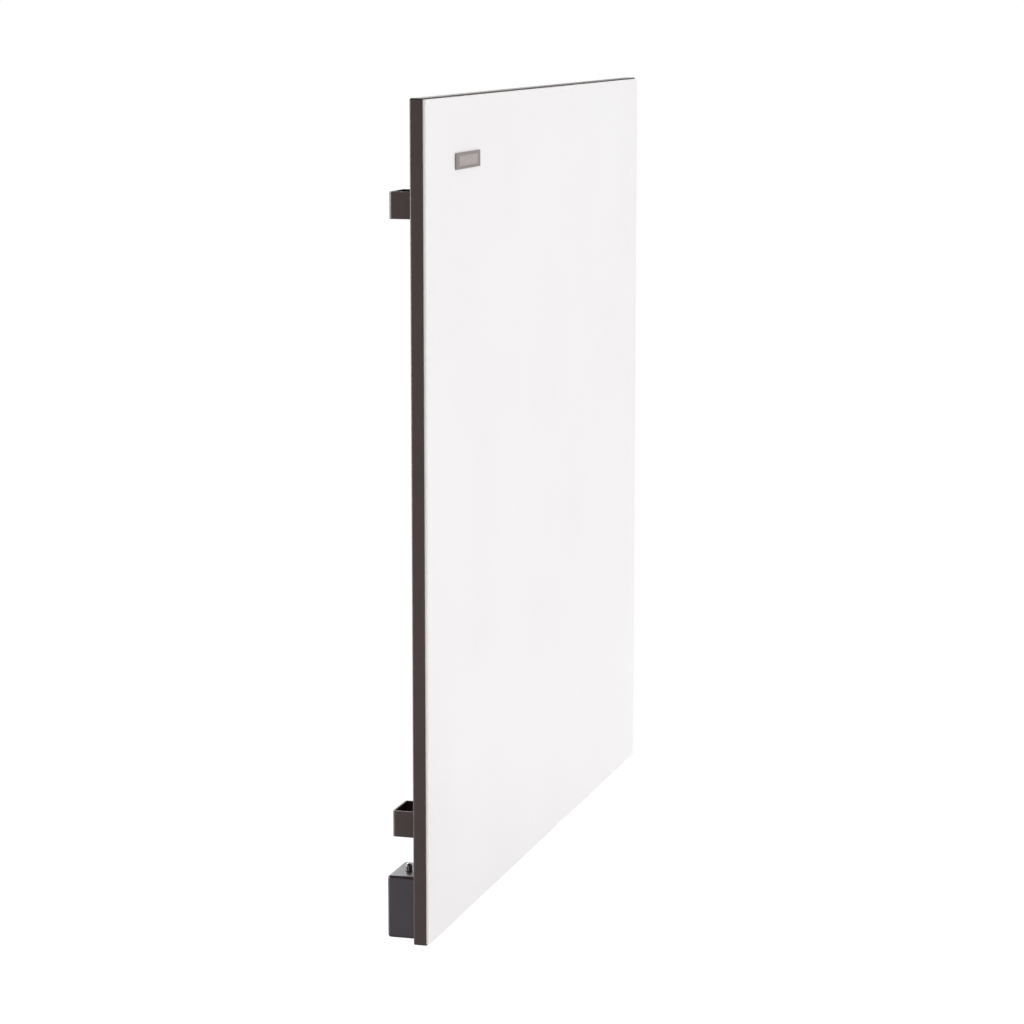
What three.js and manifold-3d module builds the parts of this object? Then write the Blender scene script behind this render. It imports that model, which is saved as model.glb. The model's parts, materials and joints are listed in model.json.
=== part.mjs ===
// Wall-hung radiant panel heater, in millimetres. X runs along the wall, Y from the room to the wall, Z up.
// The origin is on the wall, midway between the shanks of the two upper hanging screws.
// A glazed ceramic plate sits in a folded steel casing. Behind it lie a ribbon element between mica sheets,
// a foil and an insulation board. Four riveted steel brackets with keyholes stand the casing off the wall,
// and a small moulded box low on the left holds the mains connections and a push-button.

import * as THREE from "three";
import { mergeVertices } from "three/addons/utils/BufferGeometryUtils.js";
import Module from "manifold-3d";

// Panel
const panelWidth = 600;
const panelHeight = 600;
const standOff = 24; // the wall to the casing's back
const seatGap = 0.2; // between pieces that bear on each other
const samePointShare = 0.01; // of the seat gap, within which two points of an outline are one
const cutOverrun = 1; // how far a cutter runs past what it cuts
const turn = Math.PI * 2;
const edgeSteps = 3; // facets across a fold or rounded edge
const cornerSteps = 2; // half the facets round a corner of an outline
const bendSteps = 4; // facets round a bend in a strip
const domeSteps = 5; // facets from a dome's edge to its crown
const boreSides = 20;
const smallSides = 12;

// Rear casing, folded from one sheet
const casingSheet = 0.8;
const casingDepth = 9.55;
const casingFoldRadius = 1.2;
const casingCornerRadius = 1.3;
const beadCount = 3; // pressed stiffening beads across the back
const beadWidth = 14;
const beadHeight = 1;
const beadSlope = 3;
const beadSideMargin = 110;
const beadEndMargin = 150; // from the casing's lower and upper edges to the first and last bead

// Front plate and name plate
const plateThickness = 6;
const plateProud = 2.55; // how far the plate stands out of the casing
const plateEdgeGap = 0.3;
const plateArris = 0.5;
const namePlateWidth = 59;
const namePlateHeight = 11.7;
const namePlateThickness = 0.6;
const namePlateEdge = 0.2;
const namePlateCorner = 0.6;
const namePlateFromLeft = 66.6; // both from the casing's edges
const namePlateFromTop = 40.5;
const tapeThickness = 0.3;
const tapeInset = 1;

// Layers behind the plate
const sealWidth = 8;
const layerInset = 1.5; // the seal's inner edge to the layers
const micaThickness = 0.5;
const foilThickness = 0.15;
const ribbonWidth = 6;
const ribbonThickness = 0.4;
const ribbonRuns = 20; // even, so that the last run ends on the left
const ribbonMargin = 14; // from the seal to the outermost ribbon edge
const returnGap = 9; // from the turns to the run that comes back down
const bayMargin = 3; // how far the connection bay reaches past the box above and beside it

// Hanging brackets
const bracketSheet = 1.5;
const bracketWidth = 31.2;
const bracketHeight = 19.1;
const bracketBend = 0.8; // inside radius of its bends
const bracketFeetGap = 9;
const bracketFromSide = 26.4;
const upperBracketFromTop = 65.6;
const lowerBracketFromBottom = 71.4;
const keyholeEntry = 9; // diameter that a screw's head goes through
const keyholeSlot = 5; // width that its shank slides up in
const keyholeEntryHeight = 6.9; // both above the bracket's lower edge
const keyholeSeatHeight = 13;

// Blind rivets
const rivetShank = 3.2;
const rivetHead = 6;
const rivetHeadHeight = 1.1;
const rivetTail = 4.6;
const rivetTailHeight = 1.7;
const rivetBore = 1.8;
const rivetBoreDepth = 0.9;
const runningGap = 0.3; // round whatever goes through a hole

// Control box
const boxFromSide = 12; // the panel's left edge to the box's outboard face
const boxFromBottom = 0.3;
const boxWidth = 39.2;
const boxHeight = 46.2;
const boxWallGap = 0.6; // the box's rear face to the wall
const boxWall = 1.8;
const boxEdgeRadius = 2.2;
const boxCornerRadius = 2.4;
const baseThickness = 2;
const bossRadius = 2.7;
const bossInset = 5.1; // boss centres from the box's outer faces
const coverBossDepth = 4.2; // from the box's rear face into it

// Screws
const screwShank = 2.6;
const screwHead = 4.8;
const screwHeadHeight = 1.6;
const coverScrewLength = 14;
const baseScrewLength = 4;
const earthScrewLength = 3;
const crossWidth = 0.8;
const crossShare = 0.7; // of the head's diameter
const crossDepthShare = 0.6; // of the head's height

// Push-button and its switch
const buttonFromInboard = 22.6; // its centre, from the box's inboard face and the casing's back
const buttonFromCasing = 12.4;
const buttonDiameter = 4.8;
const buttonRise = 5.4; // above the box when released
const buttonDome = 2;
const buttonTravel = 1.5;
const buttonFlange = 7;
const buttonFlangeHeight = 1.2;
const buttonStem = 2.4;
const switchWidth = 8;
const switchDepth = 10;
const switchHeight = 8;
const springTurns = 4;
const springWire = 0.35;
const springSides = 6;
const springStepsPerTurn = 10;
const springLength = 3.6;

// Circuit board and what stands on it
const boardThickness = 1.6;
const boardStandOff = 3;
const boardSideGap = 0.8; // the board to the box's outboard wall
const leadLane = 11.3; // the board to the box's inboard wall
const boardBelowTop = 3.4;
const boardFromBottom = 16.8; // the box's underside to the board, clear of the terminal block
const relayMargin = 2; // the board's sides to the relay
const relayDepth = 12;
const relayRaise = 4.2; // above the board's lower edge
const relayBelowSwitch = 1.3;
const relayEdge = 0.5;

// Terminal block
const wayNames = ["earth", "live", "neutral"];
const wayPitch = 4.6;
const blockHeight = 9.6;
const blockDepth = 10;
const blockFromInboard = 10.4;
const blockFromBottom = 3.2;
const wireBore = 2.6;
const wireBoreDepth = 4.2;
const terminalScrewDiameter = 2.8;
const terminalScrewHeight = 1.8;
const terminalScrewRecess = 1;
const terminalSlotWidth = 0.6;
const terminalSlotDepth = 0.7;

// Leads, grommet, thermal cut-out and earth
const leadDiameter = 1.8;
const leadSides = 8;
const leadSteps = 30;
const grommetFromInboard = 8.3; // its centre, from the box's inboard face and its underside
const grommetFromBottom = 20;
const grommetHole = 8.4;
const grommetLip = 10.6;
const grommetLipThickness = 0.9;
const grommetPitch = 3.6; // between the two leads
const cutoutWidth = 10;
const cutoutHeight = 7;
const cutoutThickness = 2.6;
const cutoutEdge = 0.6;
const tabLength = 9;
const tabThickness = 0.4;
const earthFromInboard = 7.5; // the earth screw's centre, from the same faces as the grommet
const earthFromBottom = 30.5;
const earthRing = 6.4;
const earthRingThickness = 0.6;
const earthTabWidth = 2.8;
const earthTabRise = 5.6; // above the ring

// The leads' routes, chosen by hand: points across, in depth from the casing's back, and up. The first two
// count from the ribbon's start and end. The rest count inwards from the box's inboard face, and up from
// its underside or, at the switch, from the switch's lower side.
const liveAtCutout = [
  [10.4, -3.2, 0.4],
  [13.5, -3.4, 1],
];
const neutralAtTab = [
  [0, -2.7, 5],
  [0, -3, 0],
  [1.6, -3.4, -4.1],
  [8, -3.5, -5.9],
];
const liveToGrommet = [
  [13.3, -3.5, 21.7],
  [11.1, -3.3, 20.4],
];
const neutralToGrommet = [
  [15.1, -3.5, 28.6],
  [7.7, -3.5, 26],
  [6.5, -3.6, 22.2],
];
const liveInBox = [
  [9.9, 6.9, 21.2],
  [10.3, 10.2, 25.2],
];
const liveAtSwitch = [
  [12.5, 11, -0.9],
  [14.8, 9.6, 1.5],
  [15.2, 8.4, 1.6],
  [15.2, 7.2, 1.6],
];
const supplyAtSwitch = [
  [15.2, 7.2, 5.8],
  [15.1, 9.4, 6],
  [13.5, 14.3, 4.1],
  [12, 16.2, -2.4],
];
const supplyInBox = [
  [12, 15.7, 20.8],
  [13.7, 14.2, 16.7],
  [16.5, 11, 15.7],
];
const neutralInBox = [
  [6.6, 5.2, 19.4],
  [8.2, 7.2, 16.9],
  [10.9, 8.3, 15.6],
];
const earthInBox = [
  [7.5, 6.9, 27.3],
  [7.1, 10.8, 26.8],
  [5.9, 14.7, 21.8],
  [8.2, 16.7, 16.9],
  [13.7, 16.9, 15.9],
  [18.2, 14.9, 16.1],
  [21.4, 11, 15.7],
];

// Cord inlet bush, on the side of the box away from the panel's edge
const bushFromBottom = 9;
const bushFromCasing = 12;
const bushBore = 6.6;
const bushNeck = 10;
const bushLip = 13;
const bushLipThickness = 2.2;
const bushBarb = 11;
const bushBarbThickness = 1.6;

// Planes across the depth, from the wall at zero towards the room
const wallPlane = 0;
const casingBack = wallPlane - standOff;
const casingInside = casingBack - casingSheet;
const casingFront = casingBack - casingDepth;
const plateFront = casingFront - plateProud;
const plateBack = plateFront + plateThickness;
const frontMicaBack = plateBack + seatGap + micaThickness;
const ribbonBack = frontMicaBack + seatGap + ribbonThickness;
const rearMicaBack = ribbonBack + seatGap + micaThickness;
const foilBack = rearMicaBack + seatGap + foilThickness;
const insulationBack = casingInside - seatGap;
const boxFloor = casingBack + seatGap; // the side of the base that lies on the casing
const baseFace = boxFloor + baseThickness;
const boxRear = wallPlane - boxWallGap;
const boardFront = baseFace + boardStandOff;
const boardFace = boardFront + boardThickness;

// Places across the panel, with X from its middle and Z from its lower edge
const panelLeft = -panelWidth / 2;
const sealInner = casingSheet + plateEdgeGap + sealWidth;
const fieldLeft = panelLeft + sealInner + layerInset;
const boxLeft = panelLeft + boxFromSide;
const boxRight = boxLeft + boxWidth;
const boxTop = boxFromBottom + boxHeight;
const boxMiddleX = boxLeft + boxWidth / 2;
const boxMiddleZ = boxFromBottom + boxHeight / 2;
const bayRight = boxRight + bayMargin;
const bayTop = boxTop + bayMargin;
const upperBracketBottom = panelHeight - upperBracketFromTop - bracketHeight;
const hangHeight = upperBracketBottom + keyholeSeatHeight;

// Finishes
function finish(color, roughness, metalness) {
  return new THREE.MeshStandardMaterial({ color, roughness, metalness });
}

const glazedCeramic = finish("#f0eeee", 0.2, 0);
const brushedSteel = finish("#a8a09f", 0.38, 1);
const powderCoat = finish("#453d3f", 0.5, 0.1);
const blackPolymer = finish("#2f2b2d", 0.3, 0);
const siliconeSeal = finish("#c9c6c2", 0.8, 0);
const mica = finish("#b6a684", 0.55, 0);
const resistanceAlloy = finish("#8d8780", 0.35, 1);
const aluminiumFoil = finish("#d2d3d4", 0.25, 1);
const fibreBoard = finish("#d9d3c4", 0.95, 0);
const zincSteel = finish("#b9bcbf", 0.35, 1);
const circuitLaminate = finish("#1f4a33", 0.5, 0);
const whiteNylon = finish("#dddbd3", 0.5, 0);
const blueRelay = finish("#22456e", 0.4, 0);
const brass = finish("#b08d4a", 0.3, 1);
const brownSheath = finish("#5a3420", 0.6, 0);
const blueSheath = finish("#27518c", 0.6, 0);
const greenSheath = finish("#5b8a2c", 0.6, 0);
const blackRubber = finish("#242223", 0.8, 0);

const wasm = await Module();
wasm.setup();

// A closed geometry as a solid that can be joined and cut.
function solid(geometry) {
  const bare = geometry.clone();
  bare.deleteAttribute("normal");
  bare.deleteAttribute("uv");
  const merged = mergeVertices(bare);
  const vertProperties = merged.attributes.position.array;
  const triVerts = new Uint32Array(merged.index.array);
  return new wasm.Manifold(new wasm.Mesh({ numProp: 3, vertProperties, triVerts }));
}

// A solid back as a geometry with flat facets.
function shown(made) {
  const { numProp, vertProperties, triVerts } = made.getMesh();
  const positions = new Float32Array((vertProperties.length / numProp) * 3);
  for (let i = 0; i * numProp < vertProperties.length; i += 1) {
    positions.set(vertProperties.subarray(i * numProp, i * numProp + 3), i * 3);
  }
  const geometry = new THREE.BufferGeometry();
  geometry.setAttribute("position", new THREE.BufferAttribute(positions, 3));
  geometry.setIndex(new THREE.BufferAttribute(triVerts, 1));
  const faceted = geometry.toNonIndexed();
  faceted.computeVertexNormals();
  return faceted;
}

const heater = new THREE.Group();
heater.name = "space_heater";
heater.position.z = -hangHeight;

function place(name, made, material) {
  const mesh = new THREE.Mesh(shown(made), material);
  mesh.name = name;
  heater.add(mesh);
  return mesh;
}

const cut = (from, ...cutters) => cutters.reduce((left, cutter) => left.subtract(cutter), from);
const join = (...pieces) => pieces.reduce((all, piece) => all.add(piece));

// A block between two opposite corners.
function block([x0, y0, z0], [x1, y1, z1]) {
  const geometry = new THREE.BoxGeometry(x1 - x0, y1 - y0, z1 - z0);
  return solid(geometry.translate((x0 + x1) / 2, (y0 + y1) / 2, (z0 + z1) / 2));
}

// A round bar or bore between two values along an axis, centred on the other two coordinates.
function bar(axis, diameter, from, to, centre, sides = boreSides) {
  const profile = [[0, from], [diameter / 2, from], [diameter / 2, to], [0, to]];
  return revolve(axis, profile, centre, sides);
}

// A profile of [radius, place along the axis] pairs, from low to high, turned about an axis.
function revolve(axis, profile, [a, b], sides = boreSides) {
  const points = profile.map(([radius, along]) => new THREE.Vector2(radius, along));
  const geometry = new THREE.LatheGeometry(points, sides);
  if (axis === "x") return solid(geometry.rotateZ(-turn / 4).translate(0, a, b));
  if (axis === "y") return solid(geometry.translate(a, 0, b));
  return solid(geometry.rotateX(turn / 4).translate(a, b, 0));
}

// An outline in X and Z made into a slab that runs from yWall towards the room.
function slab(shape, yWall, thickness, edge = 0, steps = 1) {
  const geometry = new THREE.ExtrudeGeometry(shape, {
    depth: thickness - 2 * edge,
    bevelEnabled: edge > 0,
    bevelThickness: edge,
    bevelSize: edge,
    bevelOffset: -edge,
    bevelSegments: steps,
    curveSegments: cornerSteps,
  });
  return solid(geometry.translate(0, 0, edge).rotateX(turn / 4).translate(0, yWall, 0));
}

// A rectangle with rounded corners, about a centre in X and Z.
function roundedRectangle(width, height, radius, [x, z] = [0, panelHeight / 2]) {
  const [left, right] = [x - width / 2, x + width / 2];
  const [low, high] = [z - height / 2, z + height / 2];
  const shape = new THREE.Shape();
  shape.absarc(right - radius, low + radius, radius, -turn / 4, 0);
  shape.absarc(right - radius, high - radius, radius, 0, turn / 4);
  shape.absarc(left + radius, high - radius, radius, turn / 4, turn / 2);
  shape.absarc(left + radius, low + radius, radius, turn / 2, (turn * 3) / 4);
  shape.closePath();
  return shape;
}

function rectangle([x0, z0], [x1, z1]) {
  return new THREE.Shape([
    new THREE.Vector2(x0, z0),
    new THREE.Vector2(x1, z0),
    new THREE.Vector2(x1, z1),
    new THREE.Vector2(x0, z1),
  ]);
}

// A pan with a rounded edge round its closed side, which faces the wall.
function pan(width, height, depth, foldRadius, cornerRadius, centre, yWall) {
  const outline = roundedRectangle(width, height, cornerRadius, centre);
  const whole = slab(outline, yWall, depth + foldRadius, foldRadius, edgeSteps);
  const [x, z] = centre;
  const mouth = yWall - depth;
  const past = foldRadius + cutOverrun;
  const front = block([x - width, mouth - past, z - height], [x + width, mouth, z + height]);
  return cut(whole, front);
}

// The outline of a flat strip bent along a path of [x, y] corners, with rounded bends and square ends.
function bentStrip(path, thickness, insideRadius, steps = bendSteps) {
  const radius = insideRadius + thickness / 2;
  const corners = path.map(([x, y]) => new THREE.Vector2(x, y));
  const sideOf = (direction) => new THREE.Vector2(-direction.y, direction.x);
  const line = [];
  corners.forEach((corner, i) => {
    const incoming = i > 0 ? corner.clone().sub(corners[i - 1]).normalize() : null;
    const outgoing = corners[i + 1] ? corners[i + 1].clone().sub(corner).normalize() : null;
    if (!incoming || !outgoing) {
      line.push({ at: corner, side: sideOf(incoming ?? outgoing) });
      return;
    }
    const bend = Math.atan2(incoming.cross(outgoing), incoming.dot(outgoing));
    const reach = radius * Math.tan(Math.abs(bend) / 2);
    const start = corner.clone().addScaledVector(incoming, -reach);
    const centre = start.clone().addScaledVector(sideOf(incoming), radius * Math.sign(bend));
    for (let step = 0; step <= steps; step += 1) {
      const angle = (bend * step) / steps;
      line.push({
        at: start.clone().rotateAround(centre, angle),
        side: sideOf(incoming).rotateAround(new THREE.Vector2(), angle),
      });
    }
  });
  const least = seatGap * samePointShare;
  const apart = line.filter(({ at }, i) => i === 0 || at.distanceTo(line[i - 1].at) > least);
  const edge = (half) => apart.map(({ at, side }) => at.clone().addScaledVector(side, half));
  return new THREE.Shape([...edge(thickness / 2), ...edge(-thickness / 2).reverse()]);
}

// A round wire along a smooth curve through points.
function wire(points, diameter, sides, steps) {
  const curve = new THREE.CatmullRomCurve3(points.map((point) => new THREE.Vector3(...point)));
  const section = new THREE.Shape();
  for (let i = 0; i < sides; i += 1) {
    const angle = (turn * i) / sides;
    const [x, y] = [(Math.cos(angle) * diameter) / 2, (Math.sin(angle) * diameter) / 2];
    if (i === 0) section.moveTo(x, y);
    else section.lineTo(x, y);
  }
  section.closePath();
  return solid(new THREE.ExtrudeGeometry(section, { steps, extrudePath: curve, bevelEnabled: false }));
}

// The front plate, with its edges ground to a narrow arris, and the bare name plate taped on it.
function addFrontPlate() {
  const margin = casingSheet + plateEdgeGap;
  const width = panelWidth - 2 * margin;
  const height = panelHeight - 2 * margin;
  const outline = rectangle([-width / 2, margin], [width / 2, margin + height]);
  place("front_plate", slab(outline, plateBack, plateThickness, plateArris), glazedCeramic);

  const centre = [
    panelLeft + namePlateFromLeft + namePlateWidth / 2,
    panelHeight - namePlateFromTop - namePlateHeight / 2,
  ];
  const tapeWidth = namePlateWidth - 2 * tapeInset;
  const tapeHeight = namePlateHeight - 2 * tapeInset;
  const tape = roundedRectangle(tapeWidth, tapeHeight, namePlateCorner, centre);
  const tapeFront = plateFront - seatGap / 2 - tapeThickness;
  place("name_plate_tape", slab(tape, plateFront - seatGap / 2, tapeThickness), siliconeSeal);
  const face = roundedRectangle(namePlateWidth, namePlateHeight, namePlateCorner, centre);
  place("name_plate", slab(face, tapeFront - seatGap / 2, namePlateThickness, namePlateEdge), brushedSteel);
}

// The ring of silicone that beds the plate on the casing's floor and seals its edge.
function addEdgeSeal() {
  const margin = casingSheet + plateEdgeGap;
  const inset = (by) => rectangle([panelLeft + by, by], [-panelLeft - by, panelHeight - by]);
  const ring = inset(margin);
  ring.holes.push(inset(sealInner));
  const thickness = casingInside - plateBack - 2 * seatGap;
  place("edge_seal", slab(ring, casingInside - seatGap, thickness), siliconeSeal);
}

// The layers' common outline. Those with a bay leave the box's corner free for the connections.
function layerOutline(withBay) {
  const low = sealInner + layerInset;
  const high = panelHeight - low;
  const corners = [
    [-fieldLeft, low],
    [-fieldLeft, high],
    [fieldLeft, high],
  ];
  if (withBay) corners.push([fieldLeft, bayTop], [bayRight, bayTop], [bayRight, low]);
  else corners.push([fieldLeft, low]);
  return new THREE.Shape(corners.map(([x, z]) => new THREE.Vector2(x, z)));
}

// The ribbon's route: up the panel in level runs, then back down its left side to the connection bay.
const ribbonLow = sealInner + ribbonMargin;
const ribbonHigh = panelHeight - ribbonLow;
const ribbonPitch = (ribbonHigh - ribbonLow) / (ribbonRuns - 1);
const ribbonRight = -panelLeft - sealInner - ribbonMargin;
const returnX = panelLeft + sealInner + ribbonMargin / 2;
const ribbonLeft = returnX + ribbonWidth + returnGap;
const ribbonStart = [returnX, ribbonLow];
const ribbonEnd = [returnX, bayTop - bayMargin - tabLength];

function ribbonRoute() {
  const route = [ribbonStart];
  for (let run = 0; run < ribbonRuns; run += 1) {
    const z = ribbonLow + run * ribbonPitch;
    const goesRight = run % 2 === 0;
    if (run > 0) route.push([goesRight ? ribbonLeft : ribbonRight, z]);
    if (run < ribbonRuns - 1) route.push([goesRight ? ribbonRight : ribbonLeft, z]);
  }
  route.push([returnX, ribbonHigh], ribbonEnd);
  return route;
}

function addLayers() {
  const bend = (ribbonPitch - ribbonWidth) / 2;
  const clearance = cutOverrun + rivetTail / 2;
  const pocket = (x, z) => bar("y", 2 * clearance, foilBack - cutOverrun, casingBack, [x, z]);
  const board = slab(layerOutline(true), insulationBack, insulationBack - foilBack - seatGap);
  const ribbon = bentStrip(ribbonRoute(), ribbonWidth, bend);
  place("front_mica_sheet", slab(layerOutline(false), frontMicaBack, micaThickness), mica);
  place("heating_element", slab(ribbon, ribbonBack, ribbonThickness), resistanceAlloy);
  place("rear_mica_sheet", slab(layerOutline(true), rearMicaBack, micaThickness), mica);
  place("reflector_foil", slab(layerOutline(true), foilBack, foilThickness), aluminiumFoil);
  place("insulation_board", cut(board, ...rivetPlaces().map(([x, z]) => pocket(x, z))), fibreBoard);
}

// Where the brackets stand: [name, middle in X, lower edge in Z].
const bracketMiddle = panelWidth / 2 - bracketFromSide - bracketWidth / 2;
const bracketPlaces = [
  ["upper_left", -1, upperBracketBottom],
  ["upper_right", 1, upperBracketBottom],
  ["lower_left", -1, lowerBracketFromBottom],
  ["lower_right", 1, lowerBracketFromBottom],
].map(([name, side, bottom]) => [name, side * bracketMiddle, bottom]);

// Each bracket has one rivet in the middle of each foot.
const rivetReach = (bracketFeetGap / 2 + bracketWidth / 2 - bracketSheet) / 2;

function rivetPlaces() {
  return bracketPlaces.flatMap(([, x, bottom]) => [-rivetReach, rivetReach].map((reach) => [
    x + reach,
    bottom + bracketHeight / 2,
  ]));
}

// A pressed bead: a low ridge with sloping sides and round ends, in X and Z.
function bead(z, yWall, height, width) {
  const length = panelWidth - 2 * beadSideMargin;
  const outline = roundedRectangle(length + width, width, width / 2, [0, z]);
  const geometry = new THREE.ExtrudeGeometry(outline, {
    depth: casingSheet,
    bevelThickness: height,
    bevelSize: beadSlope,
    bevelOffset: -beadSlope,
    bevelSegments: 1,
    curveSegments: cornerSteps,
  });
  return solid(geometry.rotateX(turn / 4).translate(0, yWall - height, 0));
}

function addCasing() {
  const centre = [0, panelHeight / 2];
  const [w, h, s] = [panelWidth, panelHeight, casingSheet];
  const outside = pan(w, h, casingDepth, casingFoldRadius, casingCornerRadius, centre, casingBack);
  const inside = pan(
    w - 2 * s,
    h - 2 * s,
    casingDepth + cutOverrun,
    casingFoldRadius - s,
    casingCornerRadius - s,
    centre,
    casingInside,
  );
  const spacing = (panelHeight - 2 * beadEndMargin) / (beadCount - 1);
  const heights = Array.from({ length: beadCount }, (_, i) => beadEndMargin + i * spacing);
  const ridges = heights.map((z) => bead(z, casingBack + beadHeight, beadHeight, beadWidth));
  const hollows = heights.map((z) => bead(z, casingInside + beadHeight, beadHeight, beadWidth));
  const [front, behind] = [casingInside - cutOverrun, casingBack + cutOverrun];
  const through = (diameter) => (at) => bar("y", diameter, front, behind, at);
  const holes = [
    ...rivetPlaces().map(through(rivetShank + 2 * runningGap)),
    ...[...baseScrewPlaces, earthPlace].map(through(screwShank + 2 * runningGap)),
    through(grommetHole)(grommetPlace),
  ];
  place("rear_casing", cut(join(outside, ...ridges), inside, ...hollows, ...holes), powderCoat);
}

// A bracket is one strip bent into a loop, open between its two feet, with a keyhole in its wall side.
function addBracket(name, x, bottom) {
  const side = (bracketWidth - bracketSheet) / 2;
  const foot = casingBack + seatGap + bracketSheet / 2;
  const rear = wallPlane - bracketSheet / 2;
  const half = bracketFeetGap / 2;
  const route = [[half, foot], [side, foot], [side, rear], [-side, rear], [-side, foot], [-half, foot]];
  const depth = bracketHeight;
  const outline = bentStrip(route, bracketSheet, bracketBend);
  const strip = new THREE.ExtrudeGeometry(outline, { depth, bevelEnabled: false });
  const loop = solid(strip.translate(x, 0, bottom));
  const [behind, inFront] = [wallPlane + cutOverrun, wallPlane - bracketSheet - cutOverrun];
  const seat = bottom + keyholeSeatHeight;
  const entry = bottom + keyholeEntryHeight;
  const [slotLeft, slotRight] = [x - keyholeSlot / 2, x + keyholeSlot / 2];
  const keyhole = join(
    bar("y", keyholeEntry, inFront, behind, [x, entry]),
    block([slotLeft, inFront, entry], [slotRight, behind, seat]),
    bar("y", keyholeSlot, inFront, behind, [x, seat]),
  );
  const footFront = foot - bracketSheet;
  const footBack = foot + bracketSheet;
  const holes = [-rivetReach, rivetReach].map((reach) =>
    bar("y", rivetShank + 2 * runningGap, footFront, footBack, [x + reach, bottom + bracketHeight / 2]),
  );
  place(`${name}_bracket`, cut(loop, keyhole, ...holes), powderCoat);
}

// A blind rivet: domed head on the foot, shank through foot and casing, and a tail set inside the casing.
function addRivet(name, x, z) {
  const headSeat = casingBack + seatGap + bracketSheet + seatGap;
  const tailSeat = casingInside - seatGap;
  const [shank, head, tail, bore] = [rivetShank / 2, rivetHead / 2, rivetTail / 2, rivetBore / 2];
  const crown = headSeat + rivetHeadHeight;
  const profile = [
    [0, tailSeat - rivetTailHeight],
    [shank, tailSeat - rivetTailHeight],
    [tail, tailSeat - rivetTailHeight / 2],
    [tail, tailSeat],
    [shank, tailSeat],
    [shank, headSeat],
    [head, headSeat],
    [head, headSeat + rivetHeadHeight / 4],
    [(head + bore) / 2, crown - rivetHeadHeight / 8],
    [bore, crown],
    [bore, crown - rivetBoreDepth],
    [0, crown - rivetBoreDepth],
  ];
  place(name, revolve("y", profile, [x, z], smallSides), zincSteel);
}

// Places on the box, from the faces that its sizes are given from
const grommetPlace = [boxRight - grommetFromInboard, boxFromBottom + grommetFromBottom];
const earthPlace = [boxRight - earthFromInboard, boxFromBottom + earthFromBottom];
const bossPlaces = [
  [boxLeft + bossInset, boxFromBottom + bossInset],
  [boxRight - bossInset, boxTop - bossInset],
];
const boardLeft = boxLeft + boxWall + boardSideGap;
const boardWidth = boxRight - boxWall - leadLane - boardLeft;
const boardTop = boxTop - boardBelowTop;
const boardBottom = boxFromBottom + boardFromBottom;
const boardMiddleX = boardLeft + boardWidth / 2;
const baseScrewPlaces = [
  [boardMiddleX, boardBottom + screwHead],
  [boardMiddleX, boardTop - screwHead],
];
const buttonPlace = [boxRight - buttonFromInboard, casingBack + buttonFromCasing];

function crossCutter([x, z], crown, height) {
  const reach = (screwHead * crossShare) / 2;
  const half = crossWidth / 2;
  const floor = crown - height * crossDepthShare;
  const top = crown + cutOverrun;
  return join(
    block([x - reach, floor, z - half], [x + reach, top, z + half]),
    block([x - half, floor, z - reach], [x + half, top, z + reach]),
  );
}

// A pan-head screw whose head faces the wall, seated at a plane.
function screw(at, seat, length) {
  const [shank, head] = [screwShank / 2, screwHead / 2];
  const crown = seat + screwHeadHeight;
  const profile = [
    [0, seat - length],
    [shank / 2, seat - length],
    [shank, seat - length + shank],
    [shank, seat],
    [head, seat],
    [head, seat + screwHeadHeight / 2],
    [head - screwHeadHeight / 4, crown],
    [0, crown],
  ];
  return cut(revolve("y", profile, at, smallSides), crossCutter(at, crown, screwHeadHeight));
}

// The moulded cover, open towards the casing, with a screw well in two opposite corners of its rear face.
const wellDepth = screwHeadHeight + 2 * seatGap;
const coverBossEnd = boxRear - coverBossDepth;

function addBoxCover() {
  const centre = [boxMiddleX, boxMiddleZ];
  const depth = boxRear - boxFloor;
  const shell = cut(
    pan(boxWidth, boxHeight, depth, boxEdgeRadius, boxCornerRadius, centre, boxRear),
    pan(
      boxWidth - 2 * boxWall,
      boxHeight - 2 * boxWall,
      depth + cutOverrun,
      boxEdgeRadius - boxWall,
      boxCornerRadius - boxWall,
      centre,
      boxRear - boxWall,
    ),
  );
  const wellWidth = 2 * bossRadius + boxWall;
  const wells = bossPlaces.map((at) => bar("y", wellWidth, coverBossEnd, boxRear - boxWall / 2, at));
  const wellCuts = bossPlaces.flatMap((at) => [
    bar("y", screwHead + 2 * runningGap, boxRear - wellDepth, boxRear + cutOverrun, at),
    bar("y", screwShank + 2 * runningGap, coverBossEnd - cutOverrun, boxRear, at),
  ]);
  const hole = (axis, width, face, at) =>
    bar(axis, width + 2 * runningGap, face - 2 * boxWall, face + cutOverrun, at);
  const buttonHole = hole("z", buttonDiameter, boxTop, buttonPlace);
  const bushHole = hole("x", bushNeck, boxRight, bushPlace);
  const body = cut(join(shell, ...wells), ...wellCuts, buttonHole, bushHole);
  place("control_box_cover", body, blackPolymer);
}

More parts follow.
